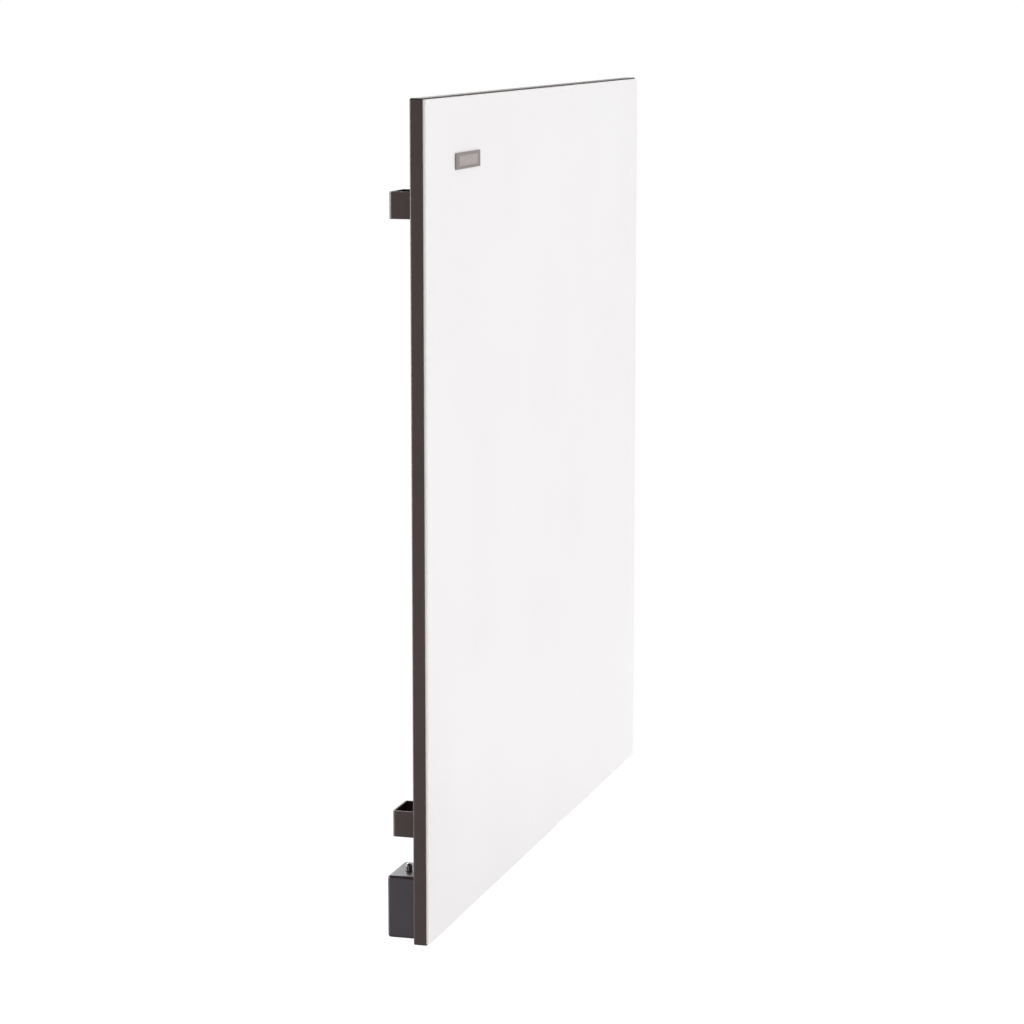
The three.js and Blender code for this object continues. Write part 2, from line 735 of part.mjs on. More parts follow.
// The base plate inside the cover's rim, with the two bosses that the cover's screws bite in.
function addBoxBase() {
  const inset = boxWall + runningGap;
  const centre = [boxMiddleX, boxMiddleZ];
  const outline = roundedRectangle(boxWidth - 2 * inset, boxHeight - 2 * inset, boxWall, centre);
  const plate = slab(outline, baseFace, baseThickness);
  const bossTop = coverBossEnd - seatGap;
  const root = boxFloor + baseThickness / 2;
  const bosses = bossPlaces.map((at) => bar("y", 2 * bossRadius, root, bossTop, at));
  const pilot = screwShank + runningGap;
  const pilots = bossPlaces.map((at) => bar("y", pilot, baseFace, bossTop + cutOverrun, at));
  const through = (diameter, at) => bar("y", diameter, boxFloor - cutOverrun, baseFace + cutOverrun, at);
  const holes = [
    through(grommetLip + 2 * runningGap, grommetPlace),
    through(earthRing + 2 * runningGap, earthPlace),
    ...baseScrewPlaces.map((at) => through(screwShank + 2 * runningGap, at)),
  ];
  const posts = [
    [boardLeft + bossRadius, boardTop - bossRadius],
    [boardLeft + boardWidth - bossRadius, boardBottom + bossRadius],
  ].map((at) => bar("y", 2 * bossRadius, root, boardFront - seatGap, at));
  place("control_box_base", cut(join(plate, ...bosses, ...posts), ...pilots, ...holes), blackPolymer);
}

function addBoxScrews() {
  ["cover_screw_lower", "cover_screw_upper"].forEach((name, i) => {
    place(name, screw(bossPlaces[i], boxRear - wellDepth + seatGap, coverScrewLength), zincSteel);
  });
  ["base_screw_lower", "base_screw_upper"].forEach((name, i) => {
    place(name, screw(baseScrewPlaces[i], baseFace + seatGap, baseScrewLength), zincSteel);
  });
}

// The push-button: a domed cap through the box's top, a flange that holds it in, and a stem in the switch.
const flangeTop = boxTop - boxWall - runningGap;
const flangeBottom = flangeTop - buttonFlangeHeight;
const switchTop = flangeBottom - 2 * seatGap - springLength;
const switchBottom = switchTop - switchHeight;
const stemEnd = switchTop - switchHeight / 2;

function addButton() {
  const [cap, flange, stem] = [buttonDiameter / 2, buttonFlange / 2, buttonStem / 2];
  const crown = boxTop + buttonRise;
  const dome = Array.from({ length: domeSteps }, (_, i) => {
    const angle = ((turn / 4) * i) / domeSteps;
    return [cap * Math.cos(angle), crown - buttonDome * (1 - Math.sin(angle))];
  });
  const profile = [
    [0, stemEnd],
    [stem, stemEnd],
    [stem, flangeBottom],
    [flange, flangeBottom],
    [flange, flangeTop],
    [cap, flangeTop],
    ...dome,
    [0, crown],
  ];
  place("push_button", revolve("z", profile, buttonPlace), blackPolymer);
}

function addSwitch() {
  const [x] = buttonPlace;
  const half = switchWidth / 2;
  const back = boardFace + seatGap;
  const body = block([x - half, back, switchBottom], [x + half, back + switchDepth, switchTop]);
  const width = buttonStem + 2 * runningGap;
  const end = stemEnd - buttonTravel - runningGap;
  const bore = bar("z", width, end, switchTop + cutOverrun, buttonPlace, smallSides);
  place("switch_body", cut(body, bore), blackPolymer);
}

// The return spring, a helix between the switch and the button's flange.
function addButtonSpring() {
  const [x, y] = buttonPlace;
  const radius = buttonStem / 2 + runningGap + springWire;
  const low = switchTop + seatGap + springWire / 2;
  const rise = springLength - springWire;
  const steps = springTurns * springStepsPerTurn;
  const points = Array.from({ length: steps + 1 }, (_, i) => {
    const angle = (turn * i) / springStepsPerTurn;
    return [x + radius * Math.cos(angle), y + radius * Math.sin(angle), low + (rise * i) / steps];
  });
  place("button_spring", wire(points, springWire, springSides, steps), zincSteel);
}

function addCircuitBoard() {
  const outline = rectangle([boardLeft, boardBottom], [boardLeft + boardWidth, boardTop]);
  place("circuit_board", slab(outline, boardFace, boardThickness), circuitLaminate);
  const low = boardBottom + relayRaise;
  const high = switchBottom - relayBelowSwitch;
  const width = boardWidth - 2 * relayMargin;
  const edge = Math.min(relayEdge, (high - low) / 2);
  const shape = roundedRectangle(width, high - low, edge, [boardMiddleX, (low + high) / 2]);
  place("relay", slab(shape, boardFace + seatGap + relayDepth, relayDepth, edge / 2), blueRelay);
}

// The terminal block: one wire bore from above and one clamping screw from the rear for each way.
const blockLeft = boxRight - blockFromInboard - wayNames.length * wayPitch;
const blockTop = boxFromBottom + blockFromBottom + blockHeight;
const blockRear = baseFace + seatGap + blockDepth;
const wireDepth = blockRear - terminalScrewRecess - terminalScrewHeight - seatGap - leadDiameter / 2;
const wayX = (way) => blockLeft + wayPitch * (way + 1 / 2);

function addTerminalBlock() {
  const low = blockTop - blockHeight;
  const right = blockLeft + wayNames.length * wayPitch;
  const body = block([blockLeft, baseFace + seatGap, low], [right, blockRear, blockTop]);
  const seat = blockRear - terminalScrewRecess - terminalScrewHeight;
  const crown = seat + terminalScrewHeight;
  const wireEnd = blockTop - wireBoreDepth;
  const screwZ = wireEnd + terminalScrewDiameter / 2;
  const bores = wayNames.flatMap((_, way) => {
    const [wireAt, screwAt] = [[wayX(way), wireDepth], [wayX(way), screwZ]];
    const well = terminalScrewDiameter + runningGap;
    return [
      bar("z", wireBore, wireEnd, blockTop + cutOverrun, wireAt, smallSides),
      bar("y", well, seat - seatGap, blockRear + cutOverrun, screwAt, smallSides),
    ];
  });
  place("terminal_block", cut(body, ...bores), whiteNylon);
  wayNames.forEach((name, way) => {
    const half = terminalSlotWidth / 2;
    const reach = terminalScrewDiameter;
    const width = terminalScrewDiameter - runningGap / 2;
    const shank = bar("y", width, seat, crown, [wayX(way), screwZ], smallSides);
    const slot = block(
      [wayX(way) - reach, crown - terminalSlotDepth, screwZ - half],
      [wayX(way) + reach, crown + cutOverrun, screwZ + half],
    );
    place(`terminal_screw_${name}`, cut(shank, slot), zincSteel);
  });
}

// The rubber grommet in the casing's lead hole, with a bore for each lead.
const leadX = [grommetPlace[0] - grommetPitch / 2, grommetPlace[0] + grommetPitch / 2];

function addGrommet() {
  const [neck, lip] = [grommetHole / 2 - runningGap / 2, grommetLip / 2];
  const inner = casingInside - seatGap;
  const outer = casingBack + seatGap;
  const profile = [
    [0, inner - grommetLipThickness],
    [lip, inner - grommetLipThickness],
    [lip, inner],
    [neck, inner],
    [neck, outer],
    [lip, outer],
    [lip, outer + grommetLipThickness],
    [0, outer + grommetLipThickness],
  ];
  const low = inner - grommetLipThickness - cutOverrun;
  const high = outer + grommetLipThickness + cutOverrun;
  const width = leadDiameter + 2 * runningGap;
  const bores = leadX.map((x) => bar("y", width, low, high, [x, grommetPlace[1]], smallSides));
  place("lead_grommet", cut(revolve("y", profile, grommetPlace), ...bores), blackRubber);
}

// The thermal cut-out on the ribbon's start and the connecting tab on its end.
function addElementEnds() {
  const [startX, startZ] = ribbonStart;
  const [endX, endZ] = ribbonEnd;
  const seat = ribbonBack + seatGap;
  const body = roundedRectangle(cutoutWidth, cutoutHeight, cutoutEdge, [startX + cutoutWidth / 2, startZ]);
  place("thermal_cutout", slab(body, seat + cutoutThickness, cutoutThickness, cutoutEdge / 2), zincSteel);
  const half = ribbonWidth / 2;
  const tab = rectangle([endX - half, endZ], [endX + half, endZ + tabLength]);
  place("neutral_tab", slab(tab, seat + tabThickness, tabThickness), brass);
}

// The leads' last stretches: straight through the grommet, and straight down into a way of the block.
function throughGrommet(x) {
  const depths = [casingInside - seatGap - grommetLipThickness, casingInside, casingBack, baseFace];
  return depths.map((y) => [x, y, grommetPlace[1]]);
}

function intoWay(name) {
  const end = blockTop - wireBoreDepth + seatGap;
  const x = wayX(wayNames.indexOf(name));
  return [blockTop + leadDiameter, blockTop, end].map((z) => [x, wireDepth, z]);
}

function addLead(name, route, sheath) {
  place(name, wire(route, leadDiameter, leadSides, leadSteps), sheath);
}

function addLeads() {
  const from = ([atX, atZ], route) => route.map(([x, y, z]) => [atX + x, casingBack + y, atZ + z]);
  const inBox = (low, route) => route.map(([x, y, z]) => [boxRight - x, casingBack + y, low + z]);
  const [liveX, neutralX] = leadX;
  const live = [
    ...from(ribbonStart, liveAtCutout),
    ...inBox(boxFromBottom, liveToGrommet),
    ...throughGrommet(liveX),
    ...inBox(boxFromBottom, liveInBox),
    ...inBox(switchBottom, liveAtSwitch),
  ];
  const supply = [
    ...inBox(switchBottom, supplyAtSwitch),
    ...inBox(boxFromBottom, supplyInBox),
    ...intoWay("live"),
  ];
  const neutral = [
    ...from(ribbonEnd, neutralAtTab),
    ...inBox(boxFromBottom, neutralToGrommet),
    ...throughGrommet(neutralX),
    ...inBox(boxFromBottom, neutralInBox),
    ...intoWay("neutral"),
  ];
  addLead("live_lead", live, brownSheath);
  addLead("supply_lead", supply, brownSheath);
  addLead("neutral_lead", neutral, blueSheath);
  addLead("earth_lead", [...inBox(boxFromBottom, earthInBox), ...intoWay("earth")], greenSheath);
}

// The earth screw clamps a ring with an upright tab straight on the casing's back.
function addEarth() {
  const [x, z] = earthPlace;
  const ringFront = casingBack + seatGap;
  const ringBack = ringFront + earthRingThickness;
  const ring = bar("y", earthRing, ringFront, ringBack, earthPlace);
  const low = z - earthRing / 2;
  const tab = block(
    [x - earthTabWidth / 2, ringFront, low],
    [x + earthTabWidth / 2, ringBack + earthTabRise, low + earthRingThickness],
  );
  const width = screwShank + 2 * runningGap;
  const hole = bar("y", width, ringFront - cutOverrun, ringBack + cutOverrun, earthPlace);
  place("earth_tag", cut(join(ring, tab), hole), brass);
  place("earth_screw", screw(earthPlace, ringBack + seatGap, earthScrewLength), zincSteel);
}

// The bush that grips the cord where it enters the box.
const bushPlace = [casingBack + bushFromCasing, boxFromBottom + bushFromBottom];

function addCordBush() {
  const [bore, neck, lip, barb] = [bushBore / 2, bushNeck / 2, bushLip / 2, bushBarb / 2];
  const inner = boxRight - boxWall - seatGap;
  const outer = boxRight + seatGap;
  const profile = [
    [bore, inner - bushBarbThickness],
    [neck, inner - bushBarbThickness],
    [barb, inner],
    [neck, inner],
    [neck, outer],
    [lip, outer],
    [lip, outer + bushLipThickness / 2],
    [neck, outer + bushLipThickness],
    [bore, outer + bushLipThickness],
    [bore, inner - bushBarbThickness],
  ];
  place("cord_bush", revolve("x", profile, bushPlace), blackPolymer);
}

addFrontPlate();
addEdgeSeal();
addLayers();
addCasing();
bracketPlaces.forEach(([name, x, bottom]) => addBracket(name, x, bottom));
rivetPlaces().forEach(([x, z], i) => {
  const [bracket] = bracketPlaces[Math.floor(i / 2)];
  const foot = i % 2 ? "right" : "left";
  addRivet(`${bracket}_rivet_${foot}`, x, z);
});
addBoxBase();
addBoxCover();
addBoxScrews();
addButton();
addSwitch();
addButtonSpring();
addCircuitBoard();
addTerminalBlock();
addGrommet();
addElementEnds();
addEarth();
addLeads();
addCordBush();

export default heater;
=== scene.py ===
import json
import math

import bmesh
import bpy
from mathutils import Matrix, Vector


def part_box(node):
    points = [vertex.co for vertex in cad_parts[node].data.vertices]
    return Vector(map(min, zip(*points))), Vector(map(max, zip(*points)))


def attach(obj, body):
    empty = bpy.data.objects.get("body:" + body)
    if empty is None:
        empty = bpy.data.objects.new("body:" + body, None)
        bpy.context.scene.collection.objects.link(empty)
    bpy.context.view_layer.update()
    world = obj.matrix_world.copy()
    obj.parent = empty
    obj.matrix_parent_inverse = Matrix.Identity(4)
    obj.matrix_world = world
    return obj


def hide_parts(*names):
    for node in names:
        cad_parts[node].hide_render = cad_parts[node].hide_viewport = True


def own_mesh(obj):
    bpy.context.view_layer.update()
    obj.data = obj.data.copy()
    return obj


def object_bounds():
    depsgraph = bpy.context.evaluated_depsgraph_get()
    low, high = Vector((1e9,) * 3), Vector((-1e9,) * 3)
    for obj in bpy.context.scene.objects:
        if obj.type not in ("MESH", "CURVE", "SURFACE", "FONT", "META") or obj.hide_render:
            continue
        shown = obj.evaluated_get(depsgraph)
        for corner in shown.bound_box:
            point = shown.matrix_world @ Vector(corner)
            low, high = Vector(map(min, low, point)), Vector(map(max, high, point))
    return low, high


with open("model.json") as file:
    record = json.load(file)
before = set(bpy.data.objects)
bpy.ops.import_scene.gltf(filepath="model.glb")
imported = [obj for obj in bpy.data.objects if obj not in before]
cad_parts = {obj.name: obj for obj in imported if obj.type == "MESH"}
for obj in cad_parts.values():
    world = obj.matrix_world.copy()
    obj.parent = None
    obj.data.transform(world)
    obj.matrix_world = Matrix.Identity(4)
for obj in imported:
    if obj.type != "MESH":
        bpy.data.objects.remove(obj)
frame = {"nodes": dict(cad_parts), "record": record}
cad_low, cad_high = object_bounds()

MM = 0.001
TURN = 2 * math.pi

# Camera, fitted to the plate's corners in the photograph. It stands off the heater's left edge.
CAMERA_MM = (-2352.0, -693.3, 137.9)
CAMERA_TURN_DEG = -73.804
CAMERA_TILT_DEG = 9.287
FOCAL_PX = 3132.24
FRAME_PX = 1024
SENSOR_MM = 36

# Studio
FLOOR_DROP_MM = 350  # from the heater's underside to the floor
FLOOR_REACH_MM = 40000
FLOOR_NEAR_MM = 500  # the floor keeps its shadow inside this distance, and is plain white beyond the next
FLOOR_FAR_MM = 1700
FLOOR_GLOW_SHARE = 0.7  # of the near floor, the rest being lit and shadowed
FLOOR_REFLECTED_SHADE_MM = 400  # inside this distance the floor glows dark in reflections only, a painted shade standing in for the shadow under the heater
FILL_STRENGTH = 0.6
AWAY = (0.96, 0.28, 0)  # from the camera across the heater, to the white side of the studio
WHITE_SIDE_SHARE = 0.05  # of the way along AWAY from which the sky is white in reflections
DARK_SIDE_SHARE = -0.3  # and from which it has the dark side's tone
CEILING_LOW = 0.4  # heights on the sky, as the sine of their elevation, between which reflections darken
CEILING_HIGH = 0.75
WHITE = "#ffffff"
DARK_SIDE = "#6a6767"
CEILING = "#3c3c3c"
FLOOR_PAINT = "#f6f6f6"
LAMPS = {  # place in mm, side in mm, watts; all aim at the panel's middle
    "key_softbox": ((-300, -3200, 1500), 1800, 29),
    "edge_softbox": ((-2500, -1450, 0), 1500, 7),
    "side_softbox": ((-1300, 2700, -200), 1300, 95),
    "back_softbox": ((1620, 1725, 1370), 2600, 100),
}

# Sockets of a mix node by number: its share, what it mixes, and what comes out
SHARE = 0
NUMBER_A, NUMBER_B = 2, 3
COLOUR_A, COLOUR_B = 6, 7
MIXED_NUMBER, MIXED_COLOUR = 0, 2

# Grain
NOISE_LOW = 0.3  # nearly all of a noise texture lies between these
NOISE_HIGH = 0.7
NOISE_DETAIL = 3.0
SKIN_STRENGTH = 0.6

# Forms, in mm
SEAT_GAP = 0.2
RUNNING_GAP = 0.3
CUT_OVERRUN = 1  # how far a cutter runs past what it cuts
CORNER_STEPS = 6
BEND_STEPS = 8
ROUND_STEPS = 40
LEAST_CORNER = 0.08
SHARP_DEG = 40  # edges sharper than this are rounded
SMALL_EDGE = 0.05  # the rounding of the nodes that stay as they are
SAME_POINT = 0.002  # points nearer than this are one
LARGE_FACE_WEIGHT = 75  # how far the large faces rule the shading of the small ones

PLATE_ARRIS = 0.5
GLAZE_REACH = 0.1  # how far down its arris the plate is glazed
PLATE_CORNER = 0.6
NAME_PLATE_EDGE = 0.12
NAME_PLATE_CORNER = 0.6
NAME_PLATE_BORDER = 2.2  # above and below a field that stands proud of it
NAME_PLATE_END = 7  # the border's width at the plate's two ends
NAME_PLATE_ETCH = 0.15
ETCH_TOP, ETCH_FOOT = 0.03, 0.12  # depths below the field between which the border's finish takes over

CASING_SHEET = 0.8
CASING_FOLD = 1.2
CASING_CORNER = 1.3
CASING_RIM_EDGE = 0.12
BEAD_COUNT = 3
BEAD_SIDE_MARGIN = 110
BEAD_END_MARGIN = 150
BEAD_WIDTH = 14
BEAD_SLOPE = 3
BEAD_HEIGHT = 1
BEAD_SINK = 0.3  # how far a bead's form starts inside the sheet
GROMMET_HOLE = 8.4

BRACKET_SHEET = 1.5
BRACKET_BEND = 0.8
BRACKET_FEET_GAP = 9
BRACKET_EDGE = 0.25
KEYHOLE_ENTRY = 9
KEYHOLE_SLOT = 5
KEYHOLE_ENTRY_HEIGHT = 6.9
KEYHOLE_SEAT_HEIGHT = 13

RIVET_SHANK = 3.2
RIVET_BORE = 1.8
RIVET_BORE_DEPTH = 0.9
RIVET_HEAD_HEIGHT = 1.1
RIVET_HEAD_RIM = 0.25
RIVET_TAIL_HEIGHT = 1.7
RIVET_TAIL_SHARE = 1.4  # of the shank's radius
RIVET_END_SHARE = 0.7  # and this at the tail's end
RIVET_END_EDGE = 0.2
RIVET_TAIL_EDGE = 0.15
RIVET_SEAT_EDGE = 0.1
RIVET_RIM_EDGE = 0.12
RIVET_BORE_EDGE = 0.08

BOX_WALL = 1.8
BOX_EDGE = 2.2
BOX_CORNER = 2.4
BOX_RIM_EDGE = 0.25
BOSS_RADIUS = 2.7
COVER_BOSS_DEPTH = 4.2
HOLE_EDGE = 0.2

SCREW_SHANK = 2.6
SCREW_HEAD_HEIGHT = 1.6
SCREW_DOME_SHARE = 0.55  # of the head's height
SCREW_EDGE = 0.1
SCREW_CROSS_WIDTH = 0.8
SCREW_CROSS_SHARE = 0.7  # of the head's width
SCREW_CROSS_DEPTH = 1.0
SCREW_CROSS_DRAFT = 0.12
SCREW_CROSS_EDGE = 0.06
WELL_DEPTH = SCREW_HEAD_HEIGHT + 2 * SEAT_GAP

BUTTON_DOME = 2
BUTTON_FLANGE_HEIGHT = 1.2
BUTTON_STEM = 2.4
BUTTON_DIAMETER = 4.8
BUTTON_FLANGE = 7
BUTTON_FLANGE_EDGE = 0.1

SPRING_WIRE = 0.35
SPRING_TURNS = 4
SPRING_STEPS = 96
SPRING_SIDES = 10
SPRING_END_TURNS = 0.5  # of wire that lies flat at either end

BUSH_BORE = 6.6
BUSH_NECK = 10
BUSH_LIP_THICKNESS = 2.2
BUSH_BARB = 11
BUSH_BARB_THICKNESS = 1.6
BUSH_EDGE = 0.35


def rgba(hex_value):
    """An sRGB hex colour as linear RGBA."""
    channels = [int(hex_value[i:i + 2], 16) / 255 for i in (1, 3, 5)]
    linear = [c / 12.92 if c <= 0.04045 else ((c + 0.055) / 1.055) ** 2.4 for c in channels]
    return (*linear, 1.0)


def per_metre(size_mm):
    """A texture scale whose pattern repeats about once in a size."""
    return 1 / (size_mm * MM)


def add(tree, kind, inputs=None, **settings):
    """Adds a node with its settings. inputs maps its sockets to values or to the sockets that feed them."""
    made = tree.nodes.new(kind)
    for name, value in settings.items():
        setattr(made, name, value)
    for socket, value in (inputs or {}).items():
        if isinstance(value, bpy.types.NodeSocket):
            tree.links.new(value, made.inputs[socket])
        else:
            made.inputs[socket].default_value = value
    return made


def grained(name, dark, light, grain_mm, rough, depth_mm, stretch=(1, 1, 1), cloud=None, **sockets):
    """A material whose colour, gloss and skin vary at one grain size, over a wider cloud of tone.

    rough is its least and greatest roughness, and stretch draws the grain out along the frame's axes.
    """
    material = bpy.data.materials.new(name)
    material.use_nodes = True
    tree = material.node_tree
    shader = tree.nodes["Principled BSDF"]
    for socket, value in sockets.items():
        shader.inputs[socket.replace("_", " ")].default_value = value
    at = add(tree, "ShaderNodeTexCoord").outputs["Object"]
    drawn_out = {"Vector": at, "Scale": [1 / s for s in stretch]}
    drawn = add(tree, "ShaderNodeMapping", drawn_out).outputs[0]
    grain = {"Vector": drawn, "Scale": per_metre(grain_mm), "Detail": NOISE_DETAIL}
    fine = add(tree, "ShaderNodeTexNoise", grain).outputs["Fac"]
    clouds = {"Vector": at, "Scale": per_metre(cloud or grain_mm), "Detail": NOISE_DETAIL}
    wide = add(tree, "ShaderNodeTexNoise", clouds).outputs["Fac"]
    span = {"From Min": NOISE_LOW, "From Max": NOISE_HIGH}
    tone = add(tree, "ShaderNodeMapRange", {"Value": wide, **span}).outputs[0]
    tones = {SHARE: tone, COLOUR_A: rgba(dark), COLOUR_B: rgba(light)}
    colour = add(tree, "ShaderNodeMix", tones, data_type="RGBA").outputs[MIXED_COLOUR]
    dulling = {"Value": fine, "To Min": rough[0], "To Max": rough[1], **span}
    gloss = add(tree, "ShaderNodeMapRange", dulling).outputs[0]
    relief = {"Height": fine, "Distance": depth_mm * MM, "Strength": SKIN_STRENGTH}
    skin = add(tree, "ShaderNodeBump", relief).outputs[0]
    for socket, value in (("Base Color", colour), ("Roughness", gloss), ("Normal", skin)):
        tree.links.new(value, shader.inputs[socket])
    return material


def deeper(material, node, from_mm, to_mm, dark, light, grain_mm, rough):
    """Changes a material's colour and gloss between two depths behind its node's front, and beyond them."""
    tree = material.node_tree
    shader = tree.nodes["Principled BSDF"]
    face_colour = shader.inputs["Base Color"].links[0].from_socket
    face_gloss = shader.inputs["Roughness"].links[0].from_socket
    at = add(tree, "ShaderNodeTexCoord").outputs["Object"]
    depth = add(tree, "ShaderNodeSeparateXYZ", {"Vector": at}).outputs["Y"]
    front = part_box(node)[0].y
    ends = {"From Min": front + from_mm * MM, "From Max": front + to_mm * MM}
    share = add(tree, "ShaderNodeMapRange", {"Value": depth, **ends}).outputs[0]
    grit = add(tree, "ShaderNodeTexNoise", {"Vector": at, "Scale": per_metre(grain_mm)}).outputs["Fac"]
    tones = {SHARE: grit, COLOUR_A: rgba(dark), COLOUR_B: rgba(light)}
    tone = add(tree, "ShaderNodeMix", tones, data_type="RGBA").outputs[MIXED_COLOUR]
    colours = {SHARE: share, COLOUR_A: face_colour, COLOUR_B: tone}
    colour = add(tree, "ShaderNodeMix", colours, data_type="RGBA").outputs[MIXED_COLOUR]
    glosses = {SHARE: share, NUMBER_A: face_gloss, NUMBER_B: rough}
    gloss = add(tree, "ShaderNodeMix", glosses).outputs[MIXED_NUMBER]
    tree.links.new(colour, shader.inputs["Base Color"])
    tree.links.new(gloss, shader.inputs["Roughness"])
    return material


METAL = {"Metallic": 1.0}

materials = {
    # Stoneware under a satin glaze: even white, with a slow ripple, and bare ground body on its arrises.
    "glazed_ceramic": deeper(
        grained("satin glazed stoneware", "#f0edee", "#f3f1f1", 9.0, (0.28, 0.32), 0.01, cloud=140),
        "front_plate", GLAZE_REACH, PLATE_ARRIS, "#f0ebe8", "#f5f0ed", 1.1, 0.75,
    ),
    # Powder coat baked on steel: satin brown-black with an orange-peel skin. The peel's cells are 0.3 mm
    # across, drawn coarser so that they show.
    "powder_coat": grained(
        "satin powder coat on steel", "#2c1b1b", "#312020", 1.2, (0.34, 0.46), 0.03, cloud=45,
    ),
    # ABS from a fine-etched mould: near-black and satin, with faint flow waves.
    "black_polymer": grained(
        "satin moulded ABS", "#231b23", "#282028", 7.0, (0.28, 0.36), 0.02, cloud=18,
        IOR=1.56,
    ),
    # ABS from a polished mould under hard clear lacquer, which gives the button its white glint.
    "lacquered_polymer": grained(
        "lacquered moulded ABS", "#1c161c", "#211a21", 7.0, (0.08, 0.14), 0.01, cloud=18,
        IOR=1.56, Coat_Weight=1.0, Coat_Roughness=0.06, Coat_IOR=1.7,
    ),
    # Stainless sheet brushed along its length: level scratches that spread its gloss upright, 0.05 mm wide
    # and drawn coarser so that they show. Its border is etched, which leaves it darker and duller.
    "brushed_steel": deeper(
        grained(
            "brushed stainless steel", "#a59a99", "#bcb1b0", 0.35, (0.28, 0.44), 0.01, (60, 1, 1),
            Anisotropic=0.6, **METAL,
        ),
        "name_plate", ETCH_TOP, ETCH_FOOT, "#8e8483", "#a19897", 0.4, 0.42,
    ),
    # Silicone cured in its bead: soft, dull and slightly dusty.
    "silicone": grained("cured silicone", "#bdb9b3", "#cbc7c2", 2.0, (0.65, 0.8), 0.05),
    # Mica paper pressed with resin: flaky, with a pearly glint.
    "mica": grained("pressed mica paper", "#9b8a66", "#c0b18f", 3.0, (0.35, 0.6), 0.05),
    # Resistance alloy rolled to a ribbon: a warm grey metal, evenly dulled by heat.
    "resistance_alloy": grained(
        "rolled resistance ribbon", "#6f6861", "#958e86", 1.0, (0.28, 0.42), 0.01, **METAL,
    ),
    # Aluminium rolled to foil: near a mirror, with the soft dents of a sheet laid by hand.
    "aluminium_foil": grained(
        "bright aluminium foil", "#c6c8c9", "#e0e1e2", 12.0, (0.12, 0.28), 0.3, **METAL,
    ),
    # Ceramic fibre pressed to a board: chalky and matt, with a felted skin.
    "fibre_board": grained("pressed ceramic fibre board", "#cfc8b8", "#e2dccf", 1.5, (0.85, 0.95), 0.2),
    # Bright zinc plate on steel: a cool silver, slightly mottled.
    "zinc_steel": grained("zinc-plated steel", "#a3a7ab", "#c3c6c8", 1.2, (0.24, 0.4), 0.01, **METAL),
    # Solder resist over glass laminate: a green film that follows the weave beneath.
    "circuit_laminate": grained(
        "solder resist on glass laminate", "#173c28", "#23543a", 2.5, (0.3, 0.45), 0.03,
    ),
    # Nylon from the mould: waxy, off-white and half matt.
    "white_nylon": grained("moulded nylon", "#d2cfc5", "#e2dfd7", 6.0, (0.42, 0.55), 0.02),
    # Glass-filled polyester from the mould: deep blue with a low shine.
    "relay_case": grained("moulded blue polyester", "#1d3f68", "#274c78", 5.0, (0.28, 0.4), 0.02),
    # Brass stamped from strip: yellow metal, slightly tarnished in patches.
    "brass": grained("stamped brass", "#a58143", "#bd9a55", 1.5, (0.22, 0.38), 0.01, **METAL),
    # Sheaths extruded over the leads: soft and matt, each in its lead's colour.
    "brown_sheath": grained("brown extruded sheath", "#4f2d1b", "#623a25", 3.0, (0.45, 0.6), 0.02),
    "blue_sheath": grained("blue extruded sheath", "#234a82", "#2e5a98", 3.0, (0.45, 0.6), 0.02),
    "green_sheath": grained("green extruded sheath", "#527e27", "#669633", 3.0, (0.45, 0.6), 0.02),
    # Moulded rubber: dull black, with a faint bloom.
    "black_rubber": grained("black rubber", "#1f1d1e", "#2b2829", 1.5, (0.6, 0.8), 0.03),
}

slots = {row["node"]: row["material_slot"] for row in frame["record"]["subparts"]}
body_of = {
    node: body
    for body, members in frame["record"]["behaviour"]["bodies"].items()
    for node in members
}


def box_mm(node):
    """A node's lowest and highest corners in millimetres."""
    return [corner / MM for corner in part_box(node)]


def middle(node):
    """The middle of a node's box in millimetres."""
    low, high = box_mm(node)
    return (low + high) / 2


def loft(name, rings, ring_shaped=False):
    """A closed form through equal rings of points. Its ends are faces, or meet where it is ring-shaped."""
    form = bmesh.new()
    rows = [[form.verts.new(point) for point in ring] for ring in rings]
    pairs = list(zip(rows, rows[1:]))
    if ring_shaped:
        pairs.append((rows[-1], rows[0]))
    else:
        form.faces.new(rows[0])
        form.faces.new(rows[-1])
    for near, far in pairs:
        for i in range(len(near)):
            form.faces.new((near[i - 1], near[i], far[i], far[i - 1]))
    bmesh.ops.recalc_face_normals(form, faces=form.faces)
    mesh = bpy.data.meshes.new(name)
    form.to_mesh(mesh)
    form.free()
    made = bpy.data.objects.new(name, mesh)
    bpy.context.scene.collection.objects.link(made)
    return made


def rounded_rectangle(low, high, inset, corner, y):
    """A level-sided ring in X and Z, set in from two opposite corners, with rounded corners."""
    radius = max(corner - inset, LEAST_CORNER)
    reach = inset + radius
    centres = [
        (high.x - reach, low.z + reach),
        (high.x - reach, high.z - reach),
        (low.x + reach, high.z - reach),
        (low.x + reach, low.z + reach),
    ]
    ring = []
    for quarter, (x, z) in enumerate(centres):
        for step in range(CORNER_STEPS + 1):
            angle = TURN / 4 * (quarter - 1 + step / CORNER_STEPS)
            ring.append((x + radius * math.cos(angle), y, z + radius * math.sin(angle)))
    return ring


def fold(radius, inset, y):
    """Stages of a quarter turn from a side that ends at y - radius to a face at y.

    Each stage is an inset and a depth.
    """
    angles = [TURN / 4 * step / BEND_STEPS for step in range(BEND_STEPS + 1)]
    return [(inset + radius * (1 - math.cos(a)), y - radius * (1 - math.sin(a))) for a in angles]


def stacked(name, low, high, corner, stages):
    """A form through rounded rectangles, one for each stage's inset and depth."""
    return loft(name, [rounded_rectangle(low, high, inset, corner, y) for inset, y in stages])


